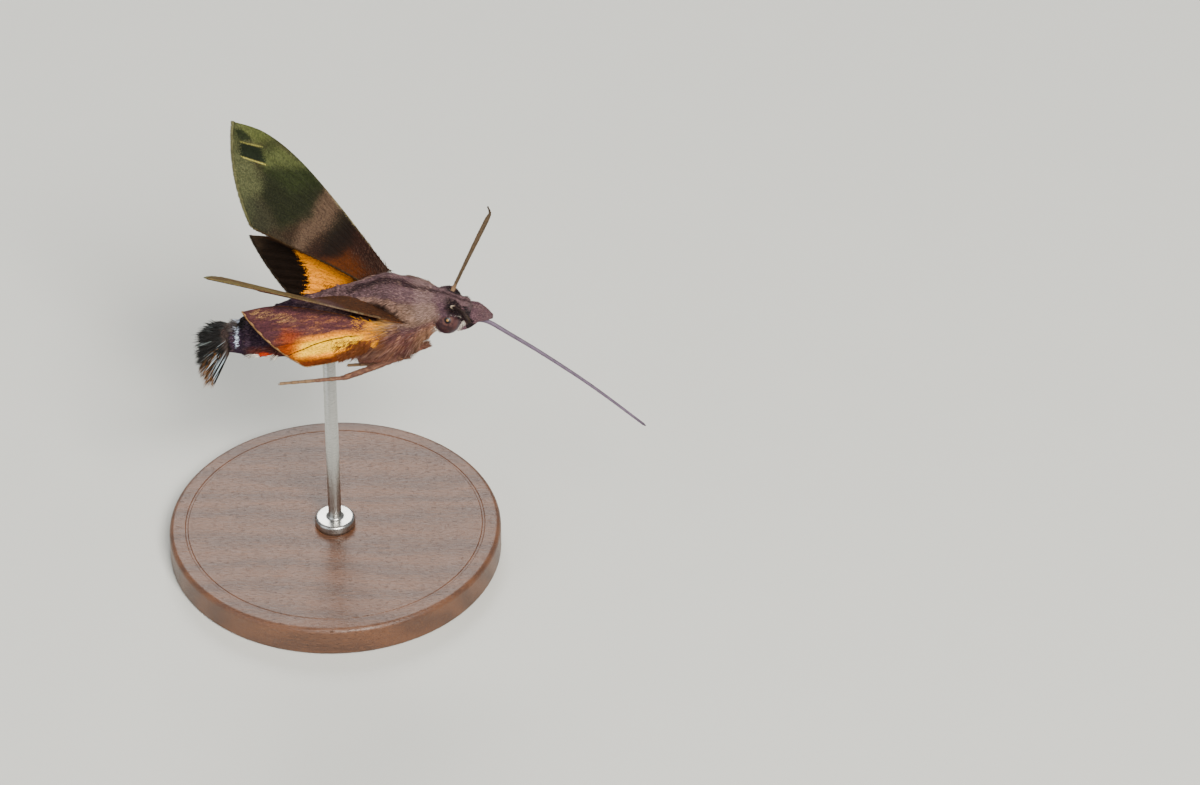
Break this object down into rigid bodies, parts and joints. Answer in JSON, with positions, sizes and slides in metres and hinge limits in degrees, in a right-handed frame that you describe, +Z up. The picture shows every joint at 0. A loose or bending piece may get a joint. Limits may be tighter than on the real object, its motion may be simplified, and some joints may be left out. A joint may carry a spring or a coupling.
{
  "type": "hawk moth figure",
  "caption": "Life-size hummingbird hawk moth hovering with raised wings, outstretched proboscis and spread tail fan, held on a rod above a round wooden base",
  "frame": {"origin": "centre of the underside of the stand's round base", "axes": "+Z up, the head points to +X, the moth's left side faces +Y"},
  "size_m": [0.0546, 0.038, 0.0524],
  "materials": {
    "fur": "matte",
    "abdomen": "matte",
    "tail": "matte",
    "eye": "gloss",
    "proboscis": "satin",
    "antenna": "matte",
    "leg": "matte",
    "forewing": "matte",
    "hindwing": "matte",
    "stand_base": "satin",
    "stand_rod": "satin"
  },
  "bodies": {
    "root": {"abdomen": "abdomen", "antenna_left": "antenna", "antenna_right": "antenna", "eye_left": "eye", "eye_right": "eye", "foreleg_left": "leg", "foreleg_right": "leg", "forewing_left": "forewing", "forewing_right": "forewing", "head": "fur", "hindleg_left": "leg", "hindleg_right": "leg", "hindwing_left": "hindwing", "hindwing_right": "hindwing", "midleg_left": "leg", "midleg_right": "leg", "palp_left": "fur", "palp_right": "fur", "proboscis": "proboscis", "stand_base": "stand_base", "stand_rod": "stand_rod", "tail_fan": "tail", "thorax": "fur"}
  },
  "joints": []
}
